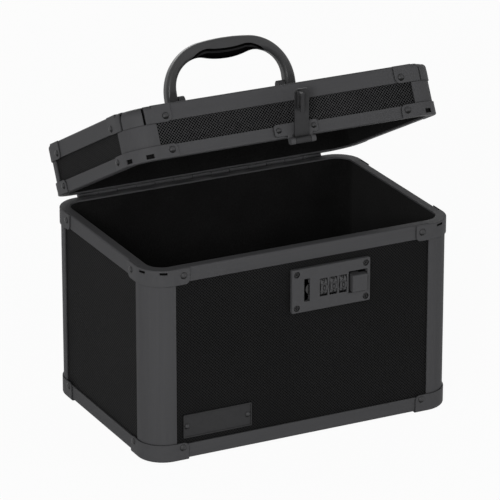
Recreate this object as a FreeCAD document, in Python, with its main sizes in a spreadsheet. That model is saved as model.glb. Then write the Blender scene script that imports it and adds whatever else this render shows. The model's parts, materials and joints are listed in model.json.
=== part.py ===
import FreeCAD, Part
import Sketcher
import math
import os

# Cash box with an aluminium frame, black textured boards and a three-dial lock.
# Millimetres, +Z up, origin under the middle of the lower case, front towards -Y.
# Every piece is drawn with the box shut; lid pieces are then swung open together.

doc = FreeCAD.newDocument("cash_box")
sheet = doc.addObject("Spreadsheet::Sheet", "Dims")
UP = FreeCAD.Vector(0, 0, 1)
TURNS = {"front": 0, "right": 90, "rear": 180, "left": 270}
OUTWARD = {
    "front": FreeCAD.Vector(0, -1, 0),
    "right": FreeCAD.Vector(1, 0, 0),
    "rear": FreeCAD.Vector(0, 1, 0),
    "left": FreeCAD.Vector(-1, 0, 0),
}
NEAR = 0.01
pieces = []


# Sizes


class Size:
    """A length that keeps its value and the cell formula that gives it."""

    def __init__(self, value, text):
        self.value = value
        self.text = text

    def __add__(self, other):
        other = as_size(other)
        return Size(self.value + other.value, "(%s + %s)" % (self.text, other.text))

    def __sub__(self, other):
        other = as_size(other)
        return Size(self.value - other.value, "(%s - %s)" % (self.text, other.text))

    def __mul__(self, other):
        other = as_size(other)
        return Size(self.value * other.value, "(%s * %s)" % (self.text, other.text))

    def __truediv__(self, other):
        other = as_size(other)
        return Size(self.value / other.value, "(%s / %s)" % (self.text, other.text))

    def __neg__(self):
        return self * -1.0


def as_size(number):
    if isinstance(number, Size):
        return number
    return Size(float(number), "(%r)" % float(number))


def dome_radius(half, rise):
    """Radius of an arc from its half chord and its rise."""
    return (half * half + rise * rise) / (rise * 2)


def size(alias, value):
    """Put a driving size in the next row of the sheet."""
    size.row += 1
    cell = "B%d" % size.row
    sheet.set("A%d" % size.row, alias.replace("_", " "))
    sheet.set(cell, repr(value))
    sheet.setAlias(cell, alias)
    return Size(float(value), "Dims." + alias)


size.row = 0

# Whole box
width = size("box_width", 254.0)
depth = size("box_depth", 170.0)
case_top = size("case_height", 152.0)
lid_height = size("lid_height", 39.5)
lid_gap = size("lid_gap", 0.4)
lid_angle = size("lid_angle", 27.0)

# Frame extrusions and boards
skin = size("rail_skin", 1.2)
board = size("board_thickness", 3.5)
lining = size("lining_thickness", 0.8)
foot = size("foot_height", 1.0)
edge_round = size("rail_edge_round", 1.5)
post_round = size("post_radius", 20.0)
post_face = size("post_face", 22.0)
groove = size("post_groove", 5.3)
board_entry = size("board_entry", 5.0)
base_face = size("base_rail_face", 11.5)
rim_face = size("rim_rail_face", 11.0)
lid_rim_face = size("lid_rim_face", 9.3)
lid_top_face = size("lid_top_face", 12.7)
inner_leg = size("rail_inner_leg", 7.5)
base_flange = size("base_flange", 8.0)
rim_flange = size("rim_flange", 7.2)
lid_top_flange = size("lid_top_flange", 11.0)

# Corner caps and rivets
cap = size("cap_sheet", 1.0)
cap_corner = size("cap_corner_round", 4.0)
cap_soft = size("cap_soft_edge", 0.8)
base_cap_soft = size("base_cap_soft_edge", 1.8)
base_cap_reach = size("base_cap_reach", 31.5)
base_cap_tall = size("base_cap_tall", 14.0)
base_cap_plate = size("base_cap_plate", 10.0)
rim_cap_reach = size("rim_cap_reach", 33.0)
rim_cap_tall = size("rim_cap_tall", 12.5)
lid_cap_reach = size("lid_cap_reach", 35.0)
lid_rim_cap_tall = size("lid_rim_cap_tall", 9.8)
lid_top_cap_tall = size("lid_top_cap_tall", 13.3)
ball_round = size("cap_ball_round", 6.0)
ball_sunk = size("cap_ball_sunk", 0.3)
bend_soft = size("cap_bend_soft_edge", 3.5)
bend_sheet = size("cap_bend_sheet", 1.8)
ball_sweep = size("cap_ball_sweep", 48.0)
slit_sweep = size("cap_slit_sweep", 57.0)
web_entry = size("cap_web_entry", 0.2)
notch_place = size("cap_notch_place", 12.5)
notch_wide = size("cap_notch_wide", 5.5)
notch_tall = size("cap_notch_tall", 3.2)
notch_rise = size("cap_notch_rise", 3.0)
dash_tall = size("cap_dash_tall", 1.8)
dash_drop = size("cap_dash_drop", 2.3)
slot_deep = size("cap_slot_deep", 8.0)
base_rivet_rise = size("base_rivet_rise", 10.6)
lid_rim_rivet_rise = size("lid_rim_rivet_rise", 5.5)
lid_top_rivet_drop = size("lid_top_rivet_drop", 9.0)
rivet_radius = size("rivet_radius", 2.7)
rivet_dome = size("rivet_dome", 1.4)
small_rivet_radius = size("small_rivet_radius", 2.2)
small_rivet_dome = size("small_rivet_dome", 1.3)
rivet_back = size("rivet_back", 5.0)

# Name plate
plate_centre = size("name_plate_centre", -71.4)
plate_middle = size("name_plate_middle", 26.3)
plate_wide = size("name_plate_wide", 56.2)
plate_tall = size("name_plate_tall", 18.4)
plate_thick = size("name_plate_thick", 1.2)
plate_border = size("name_plate_border", 0.8)
plate_sunk = size("name_plate_sunk", 0.4)
plate_rivet = size("name_plate_rivet", 25.0)

# Rear hinge, one long piano hinge over the caps
hinge_half = size("hinge_half_width", 104.0)
knuckle_count = size("knuckle_count", 13)
knuckle_gap = size("knuckle_gap", 0.3)
knuckle_radius = size("knuckle_radius", 2.4)
knuckle_clear = size("knuckle_clear", 0.3)
leaf = size("hinge_leaf", 1.2)
leaf_tall = size("hinge_leaf_tall", 12.0)
leaf_relief = size("hinge_leaf_relief", 3.0)
leaf_rivet_count = size("hinge_leaf_rivet_count", 6)
leaf_rivet_end = size("hinge_leaf_rivet_end", 98.5)
leaf_rivet_rise = size("hinge_leaf_rivet_rise", 7.4)
hinge_pin = size("hinge_pin_radius", 1.3)
running = size("running_clearance", 0.05)

# Handle and its feet, heights over the lid's top
handle_place = size("handle_place", -2.2)
handle_lean = size("handle_lean", 8.0)
pivot_rise = size("handle_pivot_rise", 9.0)
foot_sheet = size("handle_foot_sheet", 0.8)
foot_in = size("handle_foot_in", 37.5)
foot_out = size("handle_foot_out", 57.0)
foot_half = size("handle_foot_half", 6.0)
foot_round = size("handle_foot_round", 3.0)
ear_in = size("handle_ear_in", 39.3)
ear_thick = size("handle_ear_thick", 5.4)
ear_root = size("handle_ear_root", 5.2)
ear_round = size("handle_ear_round", 3.8)
handle_pin = size("handle_pin_radius", 1.3)
pin_entry = size("handle_pin_entry", 5.4)
leg_out = size("handle_leg_out", 53.9)
leg_in = size("handle_leg_in", 45.1)
leg_end = size("handle_leg_end", 4.3)
leg_taper = size("handle_leg_taper", 8.0)
arch_out = size("handle_arch_out", 38.4)
arch_spring = size("handle_arch_spring", 12.2)
crown = size("handle_crown", 1.0)
arch_in = size("handle_arch_in", 22.0)
arch_in_spring = size("handle_arch_in_spring", 17.0)
belly = size("handle_belly", 3.3)
handle_half = size("handle_half_depth", 5.0)
handle_soft = size("handle_soft_edge", 3.0)
grip_groove = size("grip_groove_wide", 1.6)
grip_groove_in = size("grip_groove_inset", 3.6)
grip_groove_deep = size("grip_groove_deep", 0.9)
grip_groove_lean = size("grip_groove_lean", 0.36)

# Hasp, drawn hanging over the lock and then turned up
hasp_place = size("hasp_place", 5.6)
hasp_angle = size("hasp_angle", 153.0)
hasp_drop = size("hasp_axis_drop", 3.0)
hasp_clear = size("hasp_axis_clear", 3.5)
hasp_knuckle = size("hasp_knuckle_radius", 2.5)
hasp_pin = size("hasp_pin_radius", 1.2)
hasp_half = size("hasp_half_width", 5.7)
hasp_long = size("hasp_length", 39.0)
hasp_sheet = size("hasp_sheet", 1.5)
hasp_round = size("hasp_end_round", 3.0)
lug_half = size("hasp_lug_start", 6.4)
lug_wide = size("hasp_lug_wide", 3.8)
lug_sheet = size("hasp_lug_sheet", 1.0)
wing_shift = size("hasp_wing_shift", -2.0)
wing_half = size("hasp_wing_half", 17.9)
wing_low = size("hasp_wing_low", 1.5)
wing_tall = size("hasp_wing_tall", 9.0)
wing_sheet = size("hasp_wing_sheet", 1.6)
wing_rivet = size("hasp_wing_rivet", 14.4)
wing_round = size("hasp_wing_round", 2.0)
staple_place = size("staple_place", 2.2)
staple_down = size("staple_down", 31.1)
staple_half = size("staple_half_tall", 7.0)
staple_thick = size("staple_thick", 2.6)
staple_out = size("staple_out", 7.5)
staple_bar = size("staple_bar", 1.2)
staple_eye = size("staple_eye", 3.0)
staple_eye_half = size("staple_eye_half", 5.0)

# Lock
lock_left = size("lock_left", -11.0)
lock_right = size("lock_right", 54.5)
lock_middle = size("lock_middle", 117.8)
lock_half = size("lock_half_tall", 17.2)
lock_thick = size("lock_plate_thick", 3.5)
lock_round = size("lock_corner_round", 1.2)
lock_bevel = size("lock_bevel", 0.6)
screw_inset = size("lock_screw_inset", 3.9)
screw_head = size("lock_screw_head_radius", 2.3)
screw_head_tall = size("lock_screw_head_tall", 0.8)
screw_shank = size("lock_screw_shank_radius", 1.2)
screw_long = size("lock_screw_long", 7.0)
screw_bore = size("lock_screw_bore_radius", 2.5)
screw_bore_deep = size("lock_screw_bore_deep", 1.6)
screw_cross = size("lock_screw_cross_half", 1.4)
screw_cross_arm = size("lock_screw_cross_arm", 0.4)
screw_cross_deep = size("lock_screw_cross_deep", 0.5)
screw_turn = size("lock_screw_turn", 50)
slot_place = size("staple_slot_place", 1.35)
slot_half = size("staple_slot_half", 2.45)
slot_half_tall = size("staple_slot_half_tall", 9.0)
dial_centre = size("dial_centre", 23.3)
dial_pitch = size("dial_pitch", 8.0)
dial_wide = size("dial_wide", 5.4)
dial_radius = size("dial_radius", 9.0)
dial_proud = size("dial_proud", 1.0)
window_wide = size("dial_window_wide", 6.5)
window_half = size("dial_window_half_tall", 7.0)
flute = size("dial_flute_radius", 0.7)
dial_turn = size("dial_turn", 22.0)
relief_half = size("dial_relief_half_tall", 8.3)
relief_deep = size("dial_relief_deep", 2.5)
spindle = size("spindle_radius", 1.5)
housing_edge = size("housing_edge", 1.4)
housing_wall = size("housing_wall", 1.5)
housing_back = size("housing_back_gap", 0.5)
boss = size("housing_boss", 4.2)
bearer = size("spindle_bearer", 1.3)
bearer_half = size("spindle_bearer_half", 4.0)
bearer_gap = size("spindle_bearer_gap", 1.0)
bearer_lip = size("spindle_bearer_lip", 2.7)
travel = size("button_travel", 2.8)
button_left = size("button_left", 38.6)
button_right = size("button_right", 51.2)
button_low = size("button_low", 109.7)
button_high = size("button_high", 123.2)
button_proud = size("button_proud", 2.5)
button_side = size("button_side_gap", 2.5)
button_foot = size("button_foot_gap", 0.6)
button_head = size("button_head_gap", 3.2)
button_soft = size("button_soft_edge", 1.2)
tab_left = size("button_tab_left", 39.5)
tab_right = size("button_tab_right", 46.5)
tab_low = size("button_tab_low", 104.6)
tab_thick = size("button_tab_thick", 2.4)
drive_place = size("drive_pin_place", 41.7)
drive_pin = size("drive_pin_radius", 1.2)
drive_slack = size("drive_slot_slack", 0.3)
drive_wall = size("drive_slot_wall", 1.0)
bar_middle = size("bolt_bar_middle", 106.8)
bar_half = size("bolt_bar_half", 1.5)
bar_thick = size("bolt_bar_thick", 2.6)
arm_left = size("bolt_arm_left", 4.2)
arm_thick = size("bolt_arm_thick", 2.9)
nose_half = size("bolt_nose_half", 4.4)
nose_thick = size("bolt_nose_thick", 1.9)
nose_reach = size("bolt_nose_reach", 3.3)
nose_pocket = size("bolt_nose_pocket", 2.2)
bearer_clear = size("spindle_bearer_clear", 0.3)
spring_turns = size("spring_turns", 5)
spring_radius = size("spring_radius", 1.05)
spring_wire = size("spring_wire_radius", 0.25)
spring_rise = size("spring_rise", 3.8)

# Worked out from the sizes above
wall = skin + board + skin
half_width = width / 2
half_depth = depth / 2
lid_low = case_top + lid_gap
lid_top = lid_low + lid_height
board_front = half_depth - skin
leaf_face = half_depth + cap + leaf
hinge_y = half_depth + cap + knuckle_clear + knuckle_radius
hinge_z = case_top + lid_gap / 2
hasp_y = -(half_depth + hasp_clear)
hasp_z = case_top - hasp_drop
pivot_z = lid_top + pivot_rise
lock_face = board_front + lock_thick
spindle_y = dial_radius - dial_proud - lock_face
tunnel_back = spindle_y + dial_radius + housing_back

CORNERS = {
    "front_left": (-half_width, -half_depth, 0),
    "front_right": (half_width, -half_depth, 90),
    "rear_right": (half_width, half_depth, 180),
    "rear_left": (-half_width, half_depth, 270),
}


# Drawing helpers


def new_body(label):
    body = doc.addObject("PartDesign::Body", label)
    body.Label = label
    return body


def new_sketch(body, role, height=0):
    """Sketch on one of the body's origin planes, moved along its normal."""
    plane = [item for item in body.Origin.OriginFeatures if item.Role == role][0]
    height = as_size(height)
    sketch = body.newObject("Sketcher::SketchObject", body.Label + "_sketch")
    sketch.AttachmentSupport = [(plane, "")]
    sketch.MapMode = "FlatFace"
    sketch.AttachmentOffset = FreeCAD.Placement(UP * height.value, FreeCAD.Rotation())
    sketch.setExpression("AttachmentOffset.Base.z", height.text)
    return sketch


def fix_point(sketch, edge, end, x=None, y=None):
    """Hold a point of the sketch at a distance from the sketch's origin."""
    for kind, axis, place in (("DistanceX", -2, x), ("DistanceY", -1, y)):
        if place is None:
            continue
        place = as_size(place)
        if abs(place.value) < 1e-9:
            sketch.addConstraint(Sketcher.Constraint("PointOnObject", edge, end, axis))
            continue
        rule = Sketcher.Constraint(kind, -1, 1, edge, end, place.value)
        index = sketch.addConstraint(rule)
        sketch.setExpression("Constraints[%d]" % index, place.text)


def outline(sketch, path):
    """Closed outline. A step (x, y) is a line to that point; a step
    (x, y, centre x, centre y, turn) is an arc to it, turn 1 being anticlockwise."""
    points = [(as_size(step[0]), as_size(step[1])) for step in path]
    edges = []
    for index, start in enumerate(points):
        step = path[(index + 1) % len(path)]
        end = points[(index + 1) % len(path)]
        first = FreeCAD.Vector(start[0].value, start[1].value, 0)
        last = FreeCAD.Vector(end[0].value, end[1].value, 0)
        if len(step) == 2:
            edge = sketch.addGeometry(Part.LineSegment(first, last))
            edges.append((edge, 1, 2))
            continue
        centre = FreeCAD.Vector(as_size(step[2]).value, as_size(step[3]).value, 0)
        ring = Part.Circle(centre, UP, (first - centre).Length)
        angles = [math.atan2(p.y - centre.y, p.x - centre.x) for p in (first, last)]
        if step[4] < 0:
            angles.reverse()
        if angles[1] <= angles[0]:
            angles[1] += 2 * math.pi
        edge = sketch.addGeometry(Part.ArcOfCircle(ring, angles[0], angles[1]))
        ends = (1, 2) if step[4] > 0 else (2, 1)
        edges.append((edge,) + ends)
    for index, (edge, start, end) in enumerate(edges):
        following = edges[(index + 1) % len(edges)]
        sketch.addConstraint(Sketcher.Constraint("Coincident", edge, end, following[0], following[1]))
    for index, (edge, start, end) in enumerate(edges):
        x, y = points[index]
        arrival = path[index]
        if len(arrival) == 2:
            fix_point(sketch, edge, start, x, y)
        elif abs(y.value - as_size(arrival[3]).value) > abs(x.value - as_size(arrival[2]).value):
            fix_point(sketch, edge, start, x=x)
        else:
            fix_point(sketch, edge, start, y=y)
        leaving = path[(index + 1) % len(path)]
        if len(leaving) > 2:
            fix_point(sketch, edge, 3, leaving[2], leaving[3])


def circle(sketch, x, y, radius):
    centre = FreeCAD.Vector(as_size(x).value, as_size(y).value, 0)
    edge = sketch.addGeometry(Part.Circle(centre, UP, radius.value))
    fix_point(sketch, edge, 3, x, y)
    index = sketch.addConstraint(Sketcher.Constraint("Radius", edge, radius.value))
    sketch.setExpression("Constraints[%d]" % index, radius.text)


def rectangle(sketch, left, right, low, high):
    outline(sketch, [(left, low), (right, low), (right, high), (left, high)])


def rounded_rectangle(sketch, left, right, low, high, radius):
    """Rectangle with four round corners, started in the middle of its lower side."""
    middle = (as_size(left) + right) / 2
    outline(sketch, [
        (middle, low),
        (right - radius, low),
        (right, low + radius, right - radius, low + radius, 1),
        (right, high - radius),
        (right - radius, high, right - radius, high - radius, 1),
        (left + radius, high),
        (left, high - radius, left + radius, high - radius, 1),
        (left, low + radius),
        (left + radius, low, left + radius, low + radius, 1),
    ])


def pad(body, sketch, length):
    """Add material along the sketch's normal."""
    length = as_size(length)
    feature = body.newObject("PartDesign::Pad", body.Label + "_pad")
    feature.Profile = sketch
    feature.Length = length.value
    feature.setExpression("Length", length.text)
    return feature


def cut(body, sketch, length):
    """Take material away along the sketch's normal."""
    length = as_size(length)
    feature = body.newObject("PartDesign::Pocket", body.Label + "_cut")
    feature.Profile = sketch
    feature.Reversed = True
    feature.Length = length.value
    feature.setExpression("Length", length.text)
    return feature


def dress(body, kind, prop, amount, wanted):
    """Round or bevel the edges of the body's last feature that pass a test."""
    doc.recompute()
    base = body.Tip
    names = ["Edge%d" % (i + 1) for i, edge in enumerate(base.Shape.Edges) if wanted(edge)]
    feature = body.newObject("PartDesign::" + kind, body.Label + "_" + kind.lower())
    feature.Base = (base, names)
    feature.setExpression(prop, amount.text)
    return feature


def round_edges(body, radius, wanted):
    return dress(body, "Fillet", "Radius", radius, wanted)


def runs_along(edge, axis):
    """True for a straight edge that runs along the axis."""
    ends = [vertex.Point for vertex in edge.Vertexes]
    if len(ends) != 2 or edge.Curve.TypeId != "Part::GeomLine":
        return False
    return abs((ends[1] - ends[0]).normalize().dot(axis)) > 0.999


def turned(degrees, x=0, y=0, z=0):
    place = FreeCAD.Vector(as_size(x).value, as_size(y).value, as_size(z).value)
    return FreeCAD.Placement(place, FreeCAD.Rotation(UP, degrees))


def swing(degrees, y, z):
    """Placement that turns about a line along X."""
    centre = FreeCAD.Vector(0, y.value, z.value)
    turn = FreeCAD.Rotation(FreeCAD.Vector(1, 0, 0), degrees)
    return FreeCAD.Placement(FreeCAD.Vector(0, 0, 0), turn, centre)


SHUT = FreeCAD.Placement()
OPEN = swing(-lid_angle.value, hinge_y, hinge_z)


def finish(item, carrier=SHUT, place=SHUT):
    """Put a piece where it belongs and list it for writing."""
    item.Placement = carrier.multiply(place)
    pieces.append(item)
    return item


def group(label, masters, carrier=SHUT):
    """Several solids as one piece, from pairs of a master and the place of its copy."""
    copies = []
    for master, place in masters:
        copy = doc.addObject("App::Link", label + "_copy")
        copy.LinkedObject = master
        copy.Placement = place
        copies.append(copy)
    compound = doc.addObject("Part::Compound", label)
    compound.Label = label
    compound.Links = copies
    return finish(compound, carrier)


def copies_of(master, places):
    return [(master, place) for place in places]


def at_corners(master):
    """A copy of the master for each corner of the box."""
    return copies_of(master, [turned(turn, x, y) for x, y, turn in CORNERS.values()])


def facing(side, x, y, z):
    """Placement of a rivet head on a face of the box."""
    place = FreeCAD.Vector(as_size(x).value, as_size(y).value, as_size(z).value)
    return FreeCAD.Placement(place, FreeCAD.Rotation(UP, OUTWARD[side]))


# Frame extrusions


def edge_path(reach, edge, toward, face, flange):
    """Section of an edge rail: outer face, flange round the edge, channel for a board.
    The wall's outer face is at -reach and the box's edge at height edge."""
    def point(inward, along):
        return (inward - reach, edge + along * toward)

    far = skin + board
    bend = point(edge_round, as_size(0)) + point(edge_round, edge_round) + (toward,)
    return [
        point(as_size(0), face),
        point(as_size(0), edge_round),
        bend,
        point(flange, as_size(0)),
        point(flange, skin),
        point(wall, skin),
        point(wall, inner_leg),
        point(far, inner_leg),
        point(far, skin),
        point(skin, skin),
        point(skin, face),
    ]


def edge_rails(name, edge, toward, face, flange, carrier=SHUT):
    """Four rails round one edge of the box, from post to post."""
    for side, turn in TURNS.items():
        lengthwise = side in ("front", "rear")
        across = width if lengthwise else depth
        reach = half_depth if lengthwise else half_width
        length = across - post_face * 2
        body = new_body("%s_%s" % (name, side))
        sketch = new_sketch(body, "YZ_Plane", length / -2)
        outline(sketch, edge_path(reach, edge, toward, face, flange))
        pad(body, sketch, length)
        finish(body, carrier, turned(turn))


def post_body(label, low, high):
    """Upright corner extrusion, drawn with the box's corner at the origin."""
    far = skin + board
    bottom = post_face - groove
    body = new_body(label)
    sketch = new_sketch(body, "XY_Plane", low)
    outline(sketch, [
        (post_face, as_size(0)),
        (post_face, skin),
        (bottom, skin),
        (bottom, far),
        (post_face, far),
        (post_face, wall),
        (post_round, wall),
        (wall, post_round, post_round, post_round, -1),
        (wall, post_face),
        (far, post_face),
        (far, bottom),
        (skin, bottom),
        (skin, post_face),
        (as_size(0), post_face),
        (as_size(0), post_round),
        (post_round, as_size(0), post_round, post_round, 1),
    ])
    pad(body, sketch, high - low)
    return body


# Boards and linings


def wall_board(label, side, low, high, carrier=SHUT, hole=None):
    """Board between two posts; hole is an opening (left, right, low, high)."""
    lengthwise = side in ("front", "rear")
    across = width if lengthwise else depth
    reach = half_depth if lengthwise else half_width
    half = across / 2 - post_face + board_entry
    body = new_body(label)
    sketch = new_sketch(body, "XZ_Plane", reach - skin - board)
    rectangle(sketch, -half, half, low, high)
    if hole:
        rectangle(sketch, *hole)
    pad(body, sketch, board)
    return finish(body, carrier, turned(TURNS[side]))


def flat_board(label, low, thick, carrier=SHUT):
    """Floor or top board, fitted inside the wall's inner faces."""
    body = new_body(label)
    sketch = new_sketch(body, "XY_Plane", low)
    inside_outline(sketch, as_size(0))
    pad(body, sketch, thick)
    return finish(body, carrier)


def inside_outline(sketch, inset):
    """Outline of the box's inside, a distance in from the wall's inner faces."""
    x = half_width - wall - inset
    y = half_depth - wall - inset
    rounded_rectangle(sketch, -x, x, -y, y, post_round - wall - inset)


def case_lining(low, high):
    """Thin lining with a floor, open above, cut round the lock's housing."""
    body = new_body("case_lining")
    outer = new_sketch(body, "XY_Plane", low)
    inside_outline(outer, as_size(0))
    pad(body, outer, high - low)
    inner = new_sketch(body, "XY_Plane", low + lining)
    inside_outline(inner, lining)
    cut(body, inner, high - low)
    hole = new_sketch(body, "XZ_Plane", half_depth - wall - lining * 2)
    rectangle(hole, *HOUSING_OUTLINE)
    cut(body, hole, lining * 2)
    finish(body)


def lid_lining(low, high):
    """Thin lining with a roof, open below."""
    body = new_body("lid_lining")
    outer = new_sketch(body, "XY_Plane", low)
    inside_outline(outer, as_size(0))
    pad(body, outer, high - low)
    inner = new_sketch(body, "XY_Plane", low)
    inside_outline(inner, lining)
    cut(body, inner, high - low - lining)
    finish(body, OPEN)


# Corner caps


def cap_band(sketch, reach, inner):
    """L-shaped band round the box's corner, from the cap's outer face to inner."""
    outline(sketch, [
        (reach, -cap),
        (reach, inner),
        (post_round, inner),
        (inner, post_round, post_round, post_round, -1),
        (inner, reach),
        (-cap, reach),
        (-cap, post_round),
        (post_round, -cap, post_round, post_round, 1),
    ])


def corner_cap(label, low, tall, reach, plate_low, plate_thick, plate_reach, plate_inner, soft=cap_soft):
    """Corner cap: a bent outer sheet with round flange ends and a flat plate at its soft edge."""
    body = new_body(label)
    sheet_band = new_sketch(body, "XY_Plane", low)
    cap_band(sheet_band, reach, as_size(0))
    pad(body, sheet_band, tall)
    end = reach.value - NEAR
    free_end = low if plate_low.value > low.value else low + tall

    def at_free_end(edge):
        middle = edge.CenterOfMass
        outermost = max(middle.x, middle.y) > end
        return outermost and edge.Length < cap.value + NEAR and abs(middle.z - free_end.value) < NEAR

    round_edges(body, cap_corner, at_free_end)
    plate = new_sketch(body, "XY_Plane", plate_low)
    cap_band(plate, plate_reach, plate_inner)
    pad(body, plate, plate_thick)
    plate_end = low + tall if plate_low.value > low.value else low

    def on_soft_edge(edge):
        points = [vertex.Point for vertex in edge.Vertexes]
        level = all(abs(point.z - plate_end.value) < NEAR for point in points)
        outside = all(min(point.x, point.y) < NEAR - cap.value for point in points)
        return level and outside and edge.Length > cap_corner.value

    round_edges(body, soft, on_soft_edge)
    return body


def bend_point(radius, lean):
    """Point round the bend's centre, lean degrees from the line to the box's corner."""
    angle = math.radians(225 + lean)
    return (post_round + radius * math.cos(angle), post_round + radius * math.sin(angle))


def turn_about_bend(body, section, sweep, lean=0.0):
    """Turn a section about the bend's centre line, by half the sweep to each side of a line that
    leans from the corner. The section's x is the distance from the centre line, below zero."""
    sketch = new_sketch(body, "XZ_Plane", -post_round)
    start = FreeCAD.Rotation(FreeCAD.Vector(0, 1, 0), 45 + lean - sweep.value / 2)
    centre = FreeCAD.Vector(post_round.value, 0, -post_round.value)
    sketch.AttachmentOffset = FreeCAD.Placement(centre, start)
    sketch.setExpression("AttachmentOffset.Base.x", post_round.text)
    outline(sketch, section)
    feature = body.newObject("PartDesign::Revolution", body.Label + "_turn")
    feature.Profile = sketch
    feature.ReferenceAxis = (sketch, ["V_Axis"])
    feature.Angle = sweep.value
    feature.setExpression("Angle", sweep.text)


def ball_corner(body, low):
    """Put a round solid corner in the bend of a lid's top cap, with a slit at each side
    and the sheet's own soft bend beyond the slits."""
    room = new_sketch(body, "XY_Plane", low)
    outline(room, [(post_round, post_round)] + [bend_point(width, turn) for turn in (-45, 0, 45)])
    cut(body, room, lid_top_cap_tall)
    back = post_round - wall
    outer = post_round + cap - ball_sunk
    turn_about_bend(body, [
        (-(back + web_entry), lid_top - skin),
        (lid_top_flange - post_round, lid_top - skin),
        (lid_top_flange - post_round, lid_top),
        (-(back + web_entry), lid_top),
    ], as_size(90))
    turn_about_bend(body, [
        (-back, low),
        (-back, lid_top),
        (ball_round - outer, lid_top),
        (-outer, lid_top - ball_round, ball_round - outer, lid_top - ball_round, 1),
        (-outer, low),
    ], ball_sweep)
    side_sweep = (as_size(90) - slit_sweep) / 2
    face = post_round + cap
    for side in (-1, 1):
        turn_about_bend(body, [
            (bend_sheet - face, low),
            (bend_sheet - face, lid_top - skin),
            (-(back + web_entry), lid_top - skin),
            (-(back + web_entry), lid_top),
            (bend_soft - face, lid_top),
            (-face, lid_top - bend_soft, bend_soft - face, lid_top - bend_soft, 1),
            (-face, low),
        ], side_sweep, side * (slit_sweep + side_sweep).value / 2)


def flange_slots(body, middle, tall):
    """A small slot in each side of a cap, next to the bend."""
    for role in ("XZ_Plane", "YZ_Plane"):
        sketch = new_sketch(body, role, slot_deep / -2)
        left = notch_place - notch_wide / 2
        rectangle(sketch, left, left + notch_wide, middle - tall / 2, middle + tall / 2)
        cut(body, sketch, slot_deep)


def rivet_body(label, radius, rise):
    """Domed rivet head standing on the XY plane."""
    body = new_body(label)
    sketch = new_sketch(body, "XZ_Plane")
    centre = rise - dome_radius(radius, rise)
    outline(sketch, [
        (as_size(0), as_size(0)),
        (radius, as_size(0)),
        (as_size(0), rise, as_size(0), centre, 1),
    ])
    feature = body.newObject("PartDesign::Revolution", label + "_turn")
    feature.Profile = sketch
    feature.ReferenceAxis = (sketch, ["V_Axis"])
    feature.Angle = 360
    return body


def ring_of_rivets(reach, height, rear=True):
    """Rivet places on the flanges of the four caps at one edge of the box, where
    rear is False for the caps that the hinge's own rivets hold at the back."""
    x = half_width - reach + rivet_back
    y = half_depth - reach + rivet_back
    face_x = half_width + cap
    face_y = half_depth + cap
    places = []
    for sign in (-1.0, 1.0):
        places.append(facing("front", x * sign, -face_y, height))
        if rear:
            places.append(facing("rear", x * sign, face_y, height))
        places.append(facing("left", -face_x, y * sign, height))
        places.append(facing("right", face_x, y * sign, height))
    return places


# Name plate


def name_plate():
    """Bare plate with a raised border."""
    left = plate_centre - plate_wide / 2
    right = plate_centre + plate_wide / 2
    low = plate_middle - plate_tall / 2
    high = plate_middle + plate_tall / 2
    body = new_body("name_plate")
    blank = new_sketch(body, "XZ_Plane", board_front)
    rounded_rectangle(blank, left, right, low, high, plate_border)
    pad(body, blank, plate_thick)
    face = new_sketch(body, "XZ_Plane", board_front + plate_thick - plate_sunk)
    rectangle(face, left + plate_border, right - plate_border, low + plate_border, high - plate_border)
    cut(body, face, plate_sunk)
    finish(body)


# Rear hinge


def knuckle_ends(index):
    """Left and right end of one knuckle of the hinge."""
    pitch = hinge_half * 2 / knuckle_count
    left = pitch * index - hinge_half + knuckle_gap / 2
    return left, left + pitch - knuckle_gap


def hinge_leaf(label, side, first, bore, carrier):
    """Leaf with every second knuckle of the hinge, below (side -1) or above the hinge line."""
    own = range(first, int(knuckle_count.value), 2)
    back = hinge_z + leaf_tall * side
    relief = hinge_z + leaf_relief * side
    path = [(hinge_half, back), (-hinge_half, back), (-hinge_half, relief)]
    for index in own:
        left, right = knuckle_ends(index)
        path += [(left, relief), (left, hinge_z), (right, hinge_z), (right, relief)]
    path.append((hinge_half, relief))
    body = new_body(label)
    flat = new_sketch(body, "XZ_Plane", -leaf_face)
    outline(flat, path)
    pad(body, flat, leaf)
    for index in own:
        left, right = knuckle_ends(index)
        roll = new_sketch(body, "YZ_Plane", left)
        circle(roll, hinge_y, hinge_z, knuckle_radius)
        pad(body, roll, right - left)
    hole = new_sketch(body, "YZ_Plane", -hinge_half)
    circle(hole, hinge_y, hinge_z, bore)
    cut(body, hole, hinge_half * 2)
    finish(body, carrier)


def rear_hinge():
    hinge_leaf("hinge_case_leaf", -1.0, 0, hinge_pin, SHUT)
    hinge_leaf("hinge_lid_leaf", 1.0, 1, hinge_pin + running, OPEN)
    pin = new_body("hinge_pin")
    rod = new_sketch(pin, "YZ_Plane", -hinge_half)
    circle(rod, hinge_y, hinge_z, hinge_pin)
    pad(pin, rod, hinge_half * 2)
    finish(pin)


def leaf_rivets(height):
    """A row of rivets along one leaf of the hinge."""
    count = int(leaf_rivet_count.value)
    pitch = leaf_rivet_end * 2 / (count - 1)
    return [facing("rear", pitch * index - leaf_rivet_end, leaf_face, height) for index in range(count)]


# Handle


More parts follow.
